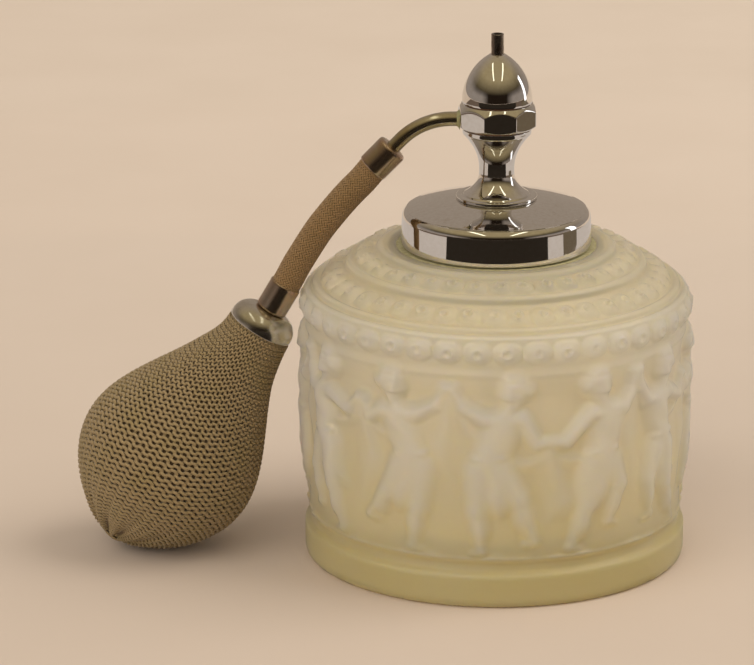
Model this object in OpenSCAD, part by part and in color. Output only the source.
// Perfume atomiser: a moulded glass bottle, a screw-on spray head and a netted rubber bulb.
// The origin is the middle of the bottle's foot, on the table. +Z is up and the bulb lies towards -X.
// All sizes are in millimetres.

/* [Bottle] */
// Widest diameter of the bottle, over its relief
bottle_d = 100; // [99:0.2:100.4]
// Diameter of the plain foot band
foot_d = 96.6; // [95.6:0.2:97]
// Height of the plain foot band
foot_h = 8.7; // [8:0.1:9.2]
// Inner diameter of the bottle's body
cavity_d = 79; // [74:1:82]
// Height of the cavity's floor, which is the thickness of the base
cavity_floor = 11; // [8:0.5:12]
// Diameter of the mouth
mouth_d = 27; // [25:0.5:27]
// Number of draped figures round the frieze
figure_count = 12; // [10:1:14]
// Number of beads in the inner, middle and outer rows
bead_counts = [36, 43, 41]; // [30:1:43]

/* [Spray head] */
// Outer diameter of the collar cap
cap_d = 48; // [47:0.2:48.4]
// Thickness of the collar cap's sheet
cap_wall = 0.8; // [0.6:0.1:0.9]
// Diameter of the stem's flange
flange_d = 20.4; // [19:0.2:20.8]
// Diameter of the stem at its waist
waist_d = 8.8; // [8.2:0.1:9.4]
// Width across the flats of the eight-sided arm ring
ring_flats = 18.9; // [18.4:0.1:19.4]
// Diameter of the acorn cap at its base
acorn_d = 17.7; // [17.2:0.1:17.9]
// Outer diameter of the nozzle tube
nozzle_d = 3.2; // [3:0.1:3.4]

/* [Air line and bulb] */
// Outer diameter of the air pipe
pipe_d = 3.7; // [3.4:0.1:3.8]
// Outer diameter of the braided hose
hose_d = 7.6; // [7.2:0.1:7.7]
// Outer diameter of the two hose ferrules
ferrule_d = 8.1; // [8.1:0.1:8.4]
// Widest diameter of the netted bulb
bulb_d = 46.8; // [44:0.2:46.8]
// Length of the netted bulb from its collar to its tail
bulb_l = 67.5; // [64:0.5:67.5]
// Diameter of the bulb's collar
collar_d = 17; // [16.6:0.1:17.6]

/* [Hidden] */
$fn = 96;

// Heights of the bottle's features
wall_r = bottle_d / 2 - 4;
frieze_z = foot_h + 2.6;
row3_z = 66.3;
ledge_z = 80.4;
recess_z = 78.5;
recess_r = 27.6;
lip_z = ledge_z + 7.6;
neck_r = 17.5;
neck_ring_r = 21.6;
neck_ring_bore_r = 18;
neck_ring_z = ledge_z + 0.2;
neck_ring_top_z = lip_z - 0.8;
mouth_r = mouth_d / 2;
cavity_r = cavity_d / 2;

// Heights of the spray head
cap_z = ledge_z + 0.3;
cap_r = cap_d / 2;
cap_corner = 2.4;
cap_shoulder_z = cap_z + 6.9;
seat_z = ledge_z + 12;
spigot_r = 4;
sleeve_r = 2.6;
dip_tube_r = 1.5;
flange_z = seat_z + 0.05;
flange_t = 1;
ring_z = 110.9;
ring_h = 6;
stem_top_z = ring_z - 0.4;
ring_bore_r = 5.06;
washer_bore_r = 5.1;
ring_turn = 4;
acorn_z = ring_z + ring_h + 0.3;
acorn_h = 12.2;
nozzle_r = nozzle_d / 2;
nozzle_seat = 7.8;
nozzle_top_z = 134.6;
thread_r = 3.7;
thread_top_z = acorn_z + 4.1;

// The air pipe leaves the ring level, then bends down towards the hose
pipe_r = pipe_d / 2;
pipe_bore_r = 1.05;
pipe_z = 112.8;
pipe_bend_x = -11.2;
pipe_bend_r = 18;
hose_tilt = 44;
pipe_bend = 90 - hose_tilt;
pipe_lead = 2.54;
bend_end = [pipe_bend_x - pipe_bend_r * sin(pipe_bend), pipe_z - pipe_bend_r * (1 - cos(pipe_bend))];
hose_dir = [-sin(hose_tilt), -cos(hose_tilt)];
ferrule_top = bend_end + pipe_lead * hose_dir;
ferrule_l = 7.6;

// The hose's centreline as [x, z], from inside the upper ferrule to inside the lower one.
// It bends in the middle, on a small bored ball at the end of its upper half.
hose_upper = [[-26.7, 104.7], [-28.9, 102.4], [-31.1, 100], [-33.6, 97], [-36.6, 93.9], [-39.4, 90.7],
              [-42, 87.5], [-44.3, 84.5]];
hose_lower = [[-45.2, 83.1], [-46.4, 81.3], [-48.33, 78.15], [-50.25, 74.93], [-51.82, 71.9],
              [-53, 69.75], [-54.5, 67.15], [-55.9, 64.73]];
hose_hinge = hose_upper[7];
hinge_ball_r = 2.85;
hose_sides = 12;
liner_bore_r = 1.9;
liner_r = hose_d / 2 - 0.95;
braid_bore_r = hose_d / 2 - 0.8;

// The lower ferrule and the collar share one axis.
// The soft bulb hangs from the collar's rim at a different tilt.
neck_tilt = 30;
bulb_tilt = 34.5;
bulb_origin = [-53, 0, 69.75];
lower_ferrule_l = 7.8;
collar_h = 5.4;
rim_s = lower_ferrule_l + collar_h;
rim_at = bulb_origin - rim_s * [sin(neck_tilt), 0, cos(neck_tilt)];
bulb_neck_r = 8.6;
bulb_r = bulb_d / 2;
belly_s = 41.5;
tail_power = 0.585;
net_t = 1;
bladder_gap = 0.15;
bladder_t = 1.6;
nipple_r = 3.6;
nipple_tip_r = 1.8;
valve_r = 2.6;
ball_r = 1;

// Points of a circular arc in the plane, from angle a to angle b
function arc(c, r, a, b, n = 8) = [for (i = [0 : n])
    let (t = a + (b - a) * i / n) c + r * [cos(t), sin(t)]];
function smooth(u) = u * u * (3 - 2 * u);
function reversed(p) = [for (i = [len(p) - 1 : -1 : 0]) p[i]];

// Radius of the stem between its flange and the ring, with its waist between two heights
waist_low_z = 99.3;
waist_high_z = 100;
function stem_r(z) = waist_d / 2
    + (z > waist_high_z ? 0.0392 * pow(z - waist_high_z, 2.1) : 0)
    + (z < waist_low_z ? 0.0806 * pow(waist_low_z - z, 2.24) : 0);

// Radius of the bulb's net at a distance s from the collar's rim: a smooth neck, then a rounded end
function bulb_radius(s) = s < belly_s
    ? bulb_neck_r + (bulb_r - bulb_neck_r) * smooth(s / belly_s)
    : bulb_r * pow(max(0, cos(90 * (s - belly_s) / (bulb_l - belly_s))), tail_power);

// Outline of the bulb drawn in by t, between two distances from the rim
function bulb_outline(t, s0, s1, n = 28) = [for (i = [0 : n])
    let (s = s0 + (s1 - s0) * sin(90 * i / n)) [max(0.1, bulb_radius(s) - t), rim_s + s]];

// Puts a child's own +Z along the collar's axis, towards the tail
module on_neck() {
    translate(bulb_origin) rotate([0, 180 + neck_tilt, 0]) children();
}

// Puts a child's own +Z along the bulb's axis, which meets the collar's axis at the rim
module on_bulb() {
    translate(rim_at) rotate([0, 180 + bulb_tilt, 0]) translate([0, 0, -rim_s]) children();
}

// A solid of revolution from its half outline
module turned(points) {
    rotate_extrude() polygon(points);
}

// A plain ring between two radii and two heights
module ring(r_in, r_out, z0, z1) {
    turned([[r_in, z0], [r_out, z0], [r_out, z1], [r_in, z1]]);
}

// Corners of one ring of a swept tube with m sides, square to the route at point i
function tube_ring(route, i, r, m) =
    let (a = route[max(0, i - 1)], b = route[min(len(route) - 1, i + 1)],
         d = (b - a) / norm(b - a), side = [d[1], -d[0]])
    [for (k = [0 : m - 1]) let (t = 360 * (k + 0.5) / m)
        [route[i][0] + r * cos(t) * side[0], r * sin(t), route[i][1] + r * cos(t) * side[1]]];

// A hollow tube swept along a route in the XZ plane
module swept_tube(route, r_out, r_in, m = hose_sides) {
    n = len(route);
    points = [for (i = [0 : n - 1])
        each concat(tube_ring(route, i, r_out, m), tube_ring(route, i, r_in, m))];
    walls = [for (i = [0 : n - 2], k = [0 : m - 1])
        let (k2 = (k + 1) % m, a = 2 * m * i, b = 2 * m * (i + 1))
        each [[a + k, b + k, b + k2, a + k2], [a + m + k, a + m + k2, b + m + k2, b + m + k]]];
    ends = [for (k = [0 : m - 1])
        let (k2 = (k + 1) % m, e = 2 * m * (n - 1))
        each [[k, k2, m + k2, m + k], [e + k, e + m + k, e + m + k2, e + k2]]];
    polyhedron(points, concat(walls, ends));
}

// One row of beads round the shoulder, starting a quarter of a step from +X.
// A row is its circle's radius, its height and its beads' radius.
module bead_row(count, row) {
    for (i = [0 : count - 1])
        rotate([0, 0, 360 * (i + 0.25) / count])
            translate([row[0], 0, row[1]])
                sphere(r = row[2], $fn = 24);
}

// A plain upright draped figure, half sunk in the wall
module figure() {
    sunk = 1.2;
    skirt_z = frieze_z + 2;
    translate([wall_r - sunk, 0, 0])
        turned([[0, skirt_z], [3.4, skirt_z], [3.7, 24], [2.7, 38], [4.5, 47], [1.9, 53],
                [3.2, 55.5], [3.2, 57], [1.6, 58.5], [0, 58.5]]);
}

// Inner, middle and outer rows of beads
outer_bead_r = 2.95;
bead_rows = [[32.9, 77.2, 2.3],
             [41.2, 72.4, 2.5],
             [bottle_d / 2 - outer_bead_r, row3_z - 0.2, outer_bead_r]];

// Outline of the stepped shoulder
shoulder = [[wall_r + 0.2, 59], [wall_r + 1.6, 61], [48.2, 62.6], [48.4, row3_z], [48.1, 69.2],
            [47.4, 70.1], [46.5, 69.8], [46.3, 71], [45.7, 71.6], [44.8, 71.7], [44.2, 71.3],
            [38.9, 74.6], [38, 74.9], [37.9, 76.3], [37.3, 77], [36.2, 77.2], [35.5, 76.8],
            [30.8, 79.2], [30.1, 79.6], [30, 80.2], [29.5, 80.6], [28.7, 80.7], [28, 80.3],
            [recess_r, recess_z]];
foot_round = 2;
foot_r = foot_d / 2;
// Outline of the bottle's outside, from the foot to the lip
bottle_outside = concat([[0, 0]], arc([foot_r - foot_round, foot_round], foot_round, -90, 0),
    [[foot_r, foot_h - 0.5], [foot_r - 0.5, foot_h], [foot_r - 1.3, foot_h + 0.3], [wall_r + 0.5, frieze_z],
     [wall_r, frieze_z + 1.5]],
    shoulder, [[neck_r, recess_z], [neck_r, lip_z - 0.6], [neck_r - 0.6, lip_z]]);
// Outline of the bottle's hollow, from the mouth down
cavity = [[mouth_r + 0.5, lip_z], [mouth_r, lip_z - 0.5], [mouth_r, 77], [24.5, 71.8], [cavity_r - 3.5, 64],
          [cavity_r, 58], [cavity_r, cavity_floor + 4], [cavity_r - 1.2, cavity_floor + 1.2],
          [cavity_r - 4, cavity_floor], [0, cavity_floor]];

module bottle() {
    color("honeydew") {
        difference() {
            union() {
                turned(concat(bottle_outside, [[0, lip_z]]));
                for (k = [0 : 2])
                    bead_row(bead_counts[k], bead_rows[k]);
                for (i = [0 : figure_count - 1])
                    rotate([0, 0, 360 * i / figure_count]) figure();
            }
            turned(concat([[0, lip_z + 5], [mouth_r + 0.5, lip_z + 5]], cavity));
        }
    }
}

// Old plaster that fills the recess round the neck and holds the threaded ring
module neck_cement() {
    fill_r = recess_r - 0.3;
    color("darkkhaki")
        turned([[neck_r, recess_z], [fill_r, recess_z], [fill_r, ledge_z - 0.1],
                [neck_ring_r, ledge_z - 0.1], [neck_ring_r, neck_ring_z],
                [neck_ring_bore_r, neck_ring_z], [neck_ring_bore_r, neck_ring_top_z],
                [neck_r, neck_ring_top_z]]);
}

// A thread's crests as plain rings, all turned at once
module crests(r_root, r_crest, z0, count, pitch) {
    sunk_r = r_root + 0.3 * sign(r_root - r_crest);
    for (i = [0 : count - 1])
        translate([0, 0, z0 + pitch * i])
            turned([[r_root, -0.6], [r_crest, -0.2], [r_crest, 0.2], [r_root, 0.6],
                    [sunk_r, 0.6], [sunk_r, -0.6]]);
}

module neck_ring() {
    color("goldenrod") union() {
        ring(neck_ring_bore_r, neck_ring_r, neck_ring_z, neck_ring_top_z);
        crests(neck_ring_r, neck_ring_r + 0.5, ledge_z + 1.8, 3, 2);
    }
}

module neck_gasket() {
    color("tan") ring(mouth_r + 0.1, neck_r - 0.1, lip_z, lip_z + 2);
}

// Points of the cap's dome, from the corner to the flat seat, drawn in by t
dome_r = 22.22;
seat_r = 10.6;
dome_rise = 2.5;
function dome(t) = concat(arc([cap_r - cap_corner, cap_shoulder_z], cap_corner - t, 0, 75, 6),
    [for (i = [1 : 6]) let (out = 1 - i / 6, r = seat_r + (dome_r - seat_r) * out)
        [r - 0.2 * t * out, seat_z - t - dome_rise * out * (0.55 + 0.45 * out)]]);

module collar_cap() {
    color("silver") turned(concat([[cap_r - cap_wall, cap_z], [cap_r, cap_z]], dome(0),
        [[spigot_r + 0.05, seat_z], [spigot_r + 0.05, seat_z - cap_wall]], reversed(dome(cap_wall))));
}

module cap_thread_ring() {
    r = cap_r - cap_wall;
    color("goldenrod") union() {
        ring(r - 0.4, r, cap_z + 0.8, cap_z + 6.2);
        crests(r - 0.4, r - 0.8, cap_z + 1.9, 3, 1.6);
    }
}

module stem() {
    foot_z = ledge_z + 4.1;
    sleeve_h = 10.1;
    jet_bore_r = 0.75;
    air_bore_r = 1.35;
    air_bore_z = 104;
    top_r = 8.9;
    rim_r = flange_d / 2;
    flare_z = 93.6;
    flare_top_z = 110;
    post_z = acorn_z - 0.1;
    color("gainsboro") difference() {
        turned(concat(
            [[0, foot_z], [spigot_r - 0.5, foot_z], [spigot_r, foot_z + 0.5], [spigot_r, flange_z],
             [rim_r - 0.2, flange_z], [rim_r, flange_z + 0.3], [rim_r, flange_z + 0.7],
             [rim_r - 0.4, flange_z + flange_t]],
            [for (i = [0 : 26]) let (z = flare_z + (flare_top_z - flare_z) * i / 26)
                [min(top_r, stem_r(z)), z]],
            [[top_r, stem_top_z], [5, stem_top_z], [5, post_z], [thread_r, post_z],
             [thread_r, thread_top_z - 0.4], [thread_r - 0.4, thread_top_z], [0, thread_top_z]]));
        translate([0, 0, ledge_z]) cylinder(r = sleeve_r, h = sleeve_h);
        cylinder(r = jet_bore_r, h = flare_top_z);
        translate([0, 0, air_bore_z]) cylinder(r = air_bore_r, h = 30);
        for (a = [0, 90])
            translate([0, 0, pipe_z + 0.4])
                rotate([90, 0, a])
                    cylinder(r = 0.8, h = 12, center = true);
    }
}

module thrust_washer() {
    color("peru") ring(spigot_r + 0.06, 9, seat_z - cap_wall - 0.6, seat_z - cap_wall - 0.1);
}

module stem_nut() {
    color("goldenrod") translate([0, 0, seat_z - 4.2]) difference() {
        cylinder(d = 12.4, h = 2.7, $fn = 6);
        translate([0, 0, -1]) cylinder(r = spigot_r, h = 5);
    }
}

module dip_tube_sleeve() {
    color("dimgray") ring(dip_tube_r, sleeve_r, ledge_z + 3.4, ledge_z + 10);
}

module dip_tube() {
    color("lightcyan") ring(0.8, dip_tube_r, cavity_floor + 2.5, ledge_z + 9.9);
}

module liquid_jet() {
    color("silver") ring(0.35, 0.7, 98, nozzle_top_z - 0.4);
}

module lower_ring_washer() {
    color("saddlebrown") ring(washer_bore_r, 8.6, stem_top_z + 0.03, ring_z - 0.03);
}

// Eight-sided ring with bevelled edges, an air groove inside and a socket for the pipe
module arm_ring() {
    half = ring_flats / 2;
    corner_r = half / cos(22.5);
    top_z = ring_z + ring_h;
    socket_l = 3.4;
    groove_r = 6.2;
    color("silver") difference() {
        union() {
            intersection() {
                rotate([0, 0, 22.5 + ring_turn])
                    translate([0, 0, ring_z])
                        cylinder(r = corner_r, h = ring_h, $fn = 8);
                turned([[0, ring_z], [half - 0.2, ring_z], [corner_r + 0.3, ring_z + 0.9],
                        [corner_r + 0.3, top_z - 2.1], [acorn_d / 2 + 0.1, top_z], [0, top_z]]);
            }
            along_arm(half + 0.6) cylinder(r = pipe_r + 0.5, h = 0.9);
        }
        translate([0, 0, ring_z - 1]) cylinder(r = ring_bore_r, h = ring_h + 2);
        ring(4, groove_r, pipe_z - 1.2, pipe_z + 1.2);
        along_arm(half + 1) cylinder(r = pipe_r, h = socket_l);
        along_arm(half) cylinder(r = pipe_bore_r - 0.05, h = 4.5);
    }
}

// Puts a child's own +Z along the pipe's level end, towards the ring's middle
module along_arm(out) {
    translate([-out, 0, pipe_z]) rotate([0, 90, 0]) children();
}

module air_pipe() {
    start = [-ring_flats / 2 + 2.3, pipe_z];
    bend = arc([pipe_bend_x, pipe_z - pipe_bend_r], pipe_bend_r, 90, 90 + pipe_bend, 12);
    end = bend_end + (pipe_lead + 6.5) * hose_dir;
    color("silver") swept_tube(concat([start], bend, [end]), pipe_r, pipe_bore_r, 20);
}

// A ferrule with a rounded closed end, in its own frame: its mouth is at z = length
module ferrule(length, hole_r) {
    r = ferrule_d / 2;
    edge = 0.8;
    turned(concat([[hole_r, 0], [r - edge, 0]], arc([r - edge, edge], edge, -90, 0, 4),
        [[r, length], [hose_d / 2 + 0.08, length], [hose_d / 2 + 0.08, 0.7], [hole_r, 0.7]]));
}

module pipe_ferrule() {
    color("rosybrown") translate([ferrule_top[0], 0, ferrule_top[1]]) rotate([0, 180 + hose_tilt, 0])
        ferrule(ferrule_l, pipe_r + 0.03);
}

module hose_liner_upper() {
    color("dimgray") swept_tube([for (i = [0 : 6]) hose_upper[i]], liner_r, liner_bore_r);
}

module hose_braid_upper() {
    color("darkgoldenrod") swept_tube(hose_upper, hose_d / 2, braid_bore_r);
}

// The ball inside the hose that its lower half turns on, bored for the air and across for its pivot
module hose_hinge_ball() {
    bore_tilt = 36;
    pivot_r = 0.5;
    color("dimgray") translate([hose_hinge[0], 0, hose_hinge[1]]) rotate([0, bore_tilt, 0])
        difference() {
            sphere(r = hinge_ball_r, $fn = 48);
            cylinder(r = 1, h = 10, center = true);
            rotate([90, 0, 0]) cylinder(r = pivot_r, h = 10, center = true);
        }
}

module hose_liner_lower() {
    color("dimgray") swept_tube([for (i = [1 : 7]) hose_lower[i]], liner_r, liner_bore_r);
}

module hose_braid_lower() {
    color("darkgoldenrod") swept_tube(hose_lower, hose_d / 2, braid_bore_r);
}

module acorn_washer() {
    color("saddlebrown") ring(washer_bore_r, 8.4, ring_z + ring_h + 0.03, acorn_z - 0.03);
}

// The acorn's outside is one arc, centred beyond the axis
module acorn_cap() {
    nose_r = nozzle_r + 0.35;
    base_r = acorn_d / 2;
    bore_r = thread_r + 0.9;
    bore_h = 4.6;
    beyond = (acorn_h * acorn_h + nose_r * nose_r - base_r * base_r) / (2 * (base_r - nose_r));
    big_r = base_r + beyond;
    sweep = asin(acorn_h / big_r);
    color("silver") translate([0, 0, acorn_z]) turned(concat(
        [[bore_r, 0]], arc([-beyond, 0], big_r, 0, sweep, 20),
        [[nozzle_r, acorn_h], [nozzle_r, nozzle_seat], [3, nozzle_seat - 1], [3, bore_h],
         [bore_r, bore_h]]));
}

module nozzle_tube() {
    bore_r = 1.15;
    foot_z = acorn_z + nozzle_seat;
    color("gray") turned([[bore_r, foot_z], [nozzle_r, foot_z], [nozzle_r, nozzle_top_z - 0.15],
                          [nozzle_r - 0.15, nozzle_top_z], [bore_r, nozzle_top_z]]);
}

module bulb_ferrule() {
    color("rosybrown") on_neck() translate([0, 0, lower_ferrule_l]) mirror([0, 0, 1])
        ferrule(lower_ferrule_l, nipple_tip_r + 0.05);
}

module bulb_collar() {
    flat_r = ferrule_d / 2 - 1;
    sheet = 0.6;
    hole_r = nipple_tip_r + 0.05;
    function shell(t) = [for (i = [0 : 10]) let (a = 90 * i / 10)
        [flat_r + (collar_d / 2 - flat_r - t) * sin(a), rim_s - (collar_h - t) * cos(a)]];
    color("darkgray") on_neck() turned(concat(
        [[hole_r, lower_ferrule_l]], shell(0), reversed(shell(sheet)),
        [[hole_r, lower_ferrule_l + sheet]]));
}

// Tube that joins the hose to the bladder and holds the outlet valve's ball
module bulb_nipple() {
    tip_s = 3;
    tube_end = lower_ferrule_l + 1.6;
    bore_r = 0.9;
    color("goldenrod") difference() {
        union() {
            on_neck() translate([0, 0, tip_s]) cylinder(r = nipple_tip_r, h = tube_end - tip_s);
            on_bulb() translate([0, 0, tube_end - 0.4])
                cylinder(r = nipple_r, h = rim_s + 9.4 - tube_end);
        }
        on_neck() cylinder(r = bore_r, h = tube_end);
        on_bulb() translate([0, 0, tube_end - 1]) cylinder(r = bore_r, h = rim_s + 12 - tube_end);
        on_bulb() translate([0, 0, lower_ferrule_l + 2.2]) cylinder(r = ball_r + 0.2, h = 3.2);
    }
}

module outlet_ball() {
    color("white") on_bulb() translate([0, 0, lower_ferrule_l + 4.3]) sphere(r = ball_r, $fn = 32);
}

// Wire wound round the bladder's neck, under the collar
module neck_binding() {
    wire_r = 0.4;
    color("goldenrod") on_bulb() for (i = [0 : 2])
        translate([0, 0, lower_ferrule_l + 2.9 + i])
            rotate_extrude()
                translate([nipple_r + bladder_t + wire_r + 0.1, 0])
                    circle(r = wire_r, $fn = 24);
}

module bulb_bladder() {
    t = net_t + bladder_gap;
    s0 = 6;
    bore_r = nipple_r + 0.05;
    neck_s = lower_ferrule_l + 2;
    tail_r = valve_r + 0.05;
    tail_s = rim_s + bulb_l;
    color("maroon") on_bulb() turned(concat(
        [[bore_r, neck_s], [nipple_r + bladder_t, neck_s], [nipple_r + bladder_t, rim_s + 1]],
        bulb_outline(t, s0, bulb_l - 2.2), [[tail_r, tail_s - 1.3], [tail_r, tail_s - 4]],
        reversed(bulb_outline(t + bladder_t, s0 + 1.5, bulb_l - 4)), [[bore_r, rim_s + 4]]));
}

module bulb_net() {
    color("darkkhaki") on_bulb() turned(concat(
        [[bulb_neck_r - 1.3, rim_s - 0.6], [bulb_neck_r - 1.2, rim_s + 0.7]],
        bulb_outline(0, 0.8, bulb_l - 0.35), [[3.2, rim_s + bulb_l - 1.2]],
        reversed(bulb_outline(net_t, 2, bulb_l - 1.2)),
        [[bulb_neck_r - 1.8, rim_s + 0.6], [bulb_neck_r - 2, rim_s - 0.6]]));
}

module intake_valve() {
    color("goldenrod") on_bulb() translate([0, 0, rim_s + bulb_l]) difference() {
        ring(0.6, valve_r, -8, -1.25);
        translate([0, 0, -6.6]) cylinder(r = ball_r + 0.2, h = 3.2);
    }
}

module intake_ball() {
    color("white") on_bulb() translate([0, 0, rim_s + bulb_l - 4.5]) sphere(r = ball_r, $fn = 32);
}

// The net's gathered end, drawn up with a thread
module tail_tie() {
    color("olive") on_bulb() translate([0, 0, rim_s + bulb_l])
        turned([[0, -1.15], [2.4, -1.15], [2.6, -0.7], [1.6, -0.2], [0, 0.1]]);
}

bottle();
neck_cement();
neck_ring();
neck_gasket();
collar_cap();
cap_thread_ring();
stem();
thrust_washer();
stem_nut();
dip_tube_sleeve();
dip_tube();
liquid_jet();
lower_ring_washer();
arm_ring();
air_pipe();
pipe_ferrule();
hose_liner_upper();
hose_braid_upper();
hose_hinge_ball();
acorn_washer();
acorn_cap();
nozzle_tube();
hose_liner_lower();
hose_braid_lower();
bulb_ferrule();
bulb_collar();
bulb_nipple();
outlet_ball();
neck_binding();
bulb_bladder();
bulb_net();
intake_valve();
intake_ball();
tail_tie();
